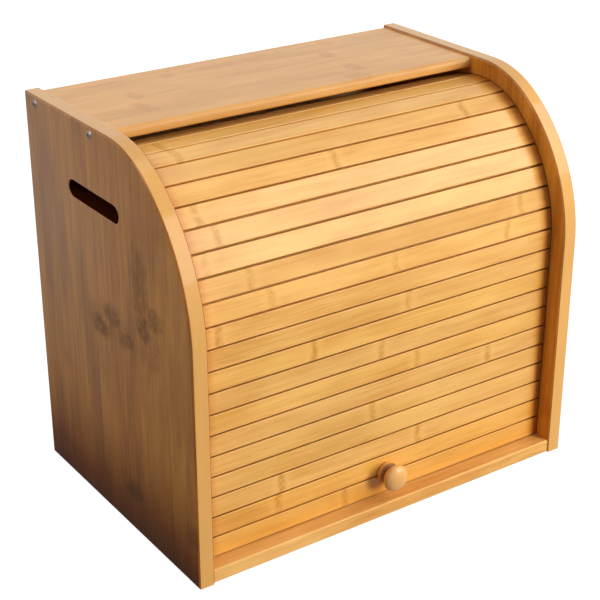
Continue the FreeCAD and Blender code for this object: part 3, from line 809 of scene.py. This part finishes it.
class BREADBOX_OT_knob(bpy.types.Operator):
    """Turn the knob on the two lowest slats."""

    bl_idname = "breadbox.knob"
    bl_label = "Knob"

    def execute(self, context):
        knob = context.scene.bread_box_knob
        wood = bamboo_material("knob_bamboo", knob.light, knob.dark, "Z", 6 * MM,
                               strip_contrast=0.35, fibre_contrast=0.6, coat=0.8, bump=0.1, shade=knob_shade)
        centre = (KNOB_LOW + KNOB_HIGH) / 2
        profile = self.profile(knob)
        build = bmesh.new()
        rings = []
        steps = 72
        for radius, out in profile:
            ring = []
            for i in range(steps):
                angle = 2 * math.pi * i / steps
                aside, up = radius * math.cos(angle), radius * math.sin(angle)
                ring.append(build.verts.new((centre.x + aside, KNOB_HIGH.y - out, centre.z + up)))
            rings.append(ring)
        for low, high in zip(rings, rings[1:]):
            for i in range(steps):
                j = (i + 1) % steps
                build.faces.new((low[i], low[j], high[j], high[i]))
        build.faces.new(rings[0])
        tip = build.verts.new((centre.x, KNOB_LOW.y, centre.z))
        for i in range(steps):
            build.faces.new((rings[-1][i], rings[-1][(i + 1) % steps], tip))
        bmesh.ops.recalc_face_normals(build, faces=build.faces)
        mesh = bpy.data.meshes.new("knob_wood")
        build.to_mesh(mesh)
        build.free()
        mesh.shade_smooth()
        mesh.materials.append(wood)
        piece = bpy.data.objects.new("knob_wood", mesh)
        context.scene.collection.objects.link(piece)
        dress(piece, "lead_slats", "knob_bamboo", "knob")
        return {"FINISHED"}

    def profile(self, knob):
        """(radius, distance out from the slats) down the knob, from its seat to just before the tip."""
        foot, waist, head = knob.foot_radius, knob.waist_radius, knob.head_radius
        points = []
        for i in range(9):
            angle = math.pi * (0.04 + 0.78 * i / 8)
            rise = knob.foot_height * (1 - math.cos(angle)) / 2 * 0.96
            points.append((foot - KNOB_BEAD + KNOB_BEAD * math.sin(angle) ** 0.7, rise))
        points.append((waist, knob.foot_height))
        ball = (knob.length - knob.foot_height) / 2
        middle = knob.foot_height + ball
        start = math.asin(min(1.0, waist / head)) * 0.86
        for i in range(25):
            angle = start + (math.pi * 0.985 - start) * i / 24
            points.append((head * math.sin(angle), middle - ball * math.cos(angle)))
        return points


class BREADBOX_OT_screws(bpy.types.Operator):
    """Give the screws their metal."""

    bl_idname = "breadbox.screws"
    bl_label = "Screws"

    def execute(self, context):
        screws = context.scene.bread_box_screws
        metal = metal_material("screw_steel", screws.metal)
        for name in sorted(frame["nodes"]):
            if "screw" in name:
                node = frame["nodes"][name]
                node.data.materials.clear()
                node.data.materials.append(metal)
        return {"FINISHED"}


class BREADBOX_OT_boards(bpy.types.Operator):
    """Give every board its bamboo."""

    bl_idname = "breadbox.boards"
    bl_label = "Boards"

    def execute(self, context):
        boards = context.scene.bread_box_boards
        strip = boards.strip
        side = dict(fibre_contrast=1.8, coat=1.0, specular=0.05, shade=panel_shade)
        # painted shade: the left side panel takes the darker, deeper orange colours
        left = bamboo_material("panel_bamboo", boards.left_shaded_light, boards.left_shaded_dark, "Z", strip, **side)
        right = bamboo_material("panel_bamboo_right", boards.right_light, boards.right_dark, "Z", strip,
                                **side)
        top = bamboo_material("top_bamboo", boards.top_light, boards.top_dark, "X", strip,
                              strip_contrast=0.25, fibre_contrast=1.0, shade=top_shade)
        base = bamboo_material("base_bamboo", boards.base_light, boards.base_dark, "X", strip,
                               fibre_contrast=1.4)
        inner = bamboo_material("inner_bamboo", boards.inner_light, boards.inner_dark, "X", strip, coat=0.0)
        cleat = bamboo_material("cleat_bamboo", boards.inner_light, boards.inner_dark, "Y", strip, coat=0.0)
        back = bamboo_material("back_ply", boards.inner_light, boards.inner_dark, "Z", 0.4, coat=0.0)
        finishes = {
            "side_panel_left": left, "side_panel_right": right, "top_board": top, "bottom_board": base,
            "back_panel": back, "shelf": inner, "lead_batten": inner,
            "shelf_cleat_left": cleat, "shelf_cleat_right": cleat,
            "bottom_dowels_left": inner, "bottom_dowels_right": inner,
        }
        for name, material in finishes.items():
            node = frame["nodes"][name]
            node.data.materials.clear()
            node.data.materials.append(material)
        return {"FINISHED"}


class BREADBOX_OT_stage(bpy.types.Operator):
    """Set up the floor, the light and the camera."""

    bl_idname = "breadbox.stage"
    bl_label = "Stage"

    def execute(self, context):
        stage = context.scene.bread_box_stage
        context.scene.view_settings.view_transform = "Standard"
        self.floor(context, stage)
        self.world(context, stage)
        for name, place, target, width, height, mirrored in LAMPS:
            lamp = self.lamp(context, name, place, target, width, height, getattr(stage, name + "_power"))
            lamp.visible_glossy = mirrored
        self.camera(context, stage)
        return {"FINISHED"}

    def floor(self, context, stage):
        half = stage.floor_size / 2
        mesh = bpy.data.meshes.new("floor")
        corners = [(-half, -half, 0), (half, -half, 0), (half, half, 0), (-half, half, 0)]
        mesh.from_pydata(corners, [], [(0, 1, 2, 3)])
        material, graph, shader = new_material("floor_white")
        shader.inputs["Base Color"].default_value = (FLOOR_GREY, FLOOR_GREY, FLOOR_GREY, 1.0)
        shader.inputs["Roughness"].default_value = 0.9
        shader.inputs["Specular IOR Level"].default_value = 0.0
        path = graph.add("ShaderNodeLightPath").outputs
        seen = graph.math("MAXIMUM", path["Is Camera Ray"], path["Is Transmission Ray"])
        seen = graph.math("MAXIMUM", seen, graph.times(path["Is Glossy Ray"], FLOOR_GLOSS))
        shader.inputs["Emission Color"].default_value = (1.0, 1.0, 1.0, 1.0)
        graph.feed(shader.inputs["Emission Strength"], graph.times(seen, FLOOR_GLOW))
        mesh.materials.append(material)
        floor = bpy.data.objects.new("floor", mesh)
        context.scene.collection.objects.link(floor)

    def world(self, context, stage):
        world = bpy.data.worlds.new("studio")
        context.scene.world = world
        world.use_nodes = True
        graph = Graph(world.node_tree)
        background = world.node_tree.nodes["Background"]
        path = graph.add("ShaderNodeLightPath").outputs
        seen = graph.math("MAXIMUM", path["Is Camera Ray"], path["Is Transmission Ray"])
        seen = graph.math("MAXIMUM", seen, path["Is Glossy Ray"])
        level = graph.plus(stage.world_level, graph.times(seen, 1.0 - stage.world_level))
        background.inputs["Color"].default_value = (1.0, 1.0, 1.0, 1.0)
        graph.feed(background.inputs["Strength"], level)

    def lamp(self, context, name, place, target, width, height, power):
        light = bpy.data.lights.new(name, "AREA")
        light.shape = "RECTANGLE"
        light.size, light.size_y = width, height
        light.energy = power
        lamp = bpy.data.objects.new(name, light)
        lamp.location = place
        lamp.rotation_euler = (Vector(target) - Vector(place)).to_track_quat("-Z", "Y").to_euler()
        lamp.visible_camera = False
        context.scene.collection.objects.link(lamp)
        return lamp

    def camera(self, context, stage):
        data = bpy.data.cameras.new("camera")
        data.lens = stage.lens
        data.sensor_width = 36.0
        camera = bpy.data.objects.new("camera", data)
        place, target = Vector(stage.camera_place), Vector(stage.camera_target)
        aim = (target - place).to_track_quat("-Z", "Y").to_matrix().to_4x4()
        camera.matrix_world = Matrix.Translation(place) @ aim @ Matrix.Rotation(stage.camera_roll, 4, "Z")
        context.scene.collection.objects.link(camera)
        context.scene.camera = camera


# ---------------------------------------------------------------- panel and registration
OPERATORS = (
    BREADBOX_OT_slats,
    BREADBOX_OT_canvas,
    BREADBOX_OT_knob,
    BREADBOX_OT_screws,
    BREADBOX_OT_boards,
    BREADBOX_OT_stage,
)
SETTINGS = {
    "bread_box_track": BreadBoxTrack,
    "bread_box_slats": BreadBoxSlats,
    "bread_box_boards": BreadBoxBoards,
    "bread_box_knob": BreadBoxKnob,
    "bread_box_screws": BreadBoxScrews,
    "bread_box_stage": BreadBoxStage,
}


class BREADBOX_PT_tools(bpy.types.Panel):
    """Lists the pieces' settings and the operators that make them."""

    bl_idname = "BREADBOX_PT_tools"
    bl_label = "Bread Box"
    bl_space_type = "VIEW_3D"
    bl_region_type = "UI"
    bl_category = "Bread Box"

    def draw(self, context):
        for operator in OPERATORS:
            self.layout.operator(operator.bl_idname)
        for name, group in SETTINGS.items():
            box = self.layout.box()
            box.label(text=group.__name__)
            for key in group.__annotations__:
                box.prop(getattr(context.scene, name), key)


def register():
    for group in SETTINGS.values():
        bpy.utils.register_class(group)
    for name, group in SETTINGS.items():
        setattr(bpy.types.Scene, name, PointerProperty(type=group))
    for operator in OPERATORS:
        bpy.utils.register_class(operator)
    bpy.utils.register_class(BREADBOX_PT_tools)


def unregister():
    bpy.utils.unregister_class(BREADBOX_PT_tools)
    for operator in reversed(OPERATORS):
        bpy.utils.unregister_class(operator)
    for name, group in SETTINGS.items():
        delattr(bpy.types.Scene, name)
        bpy.utils.unregister_class(group)


def main():
    register()
    for operator in OPERATORS:
        group, name = operator.bl_idname.split(".")
        getattr(getattr(bpy.ops, group), name)()


if __name__ == "__main__":
    main()
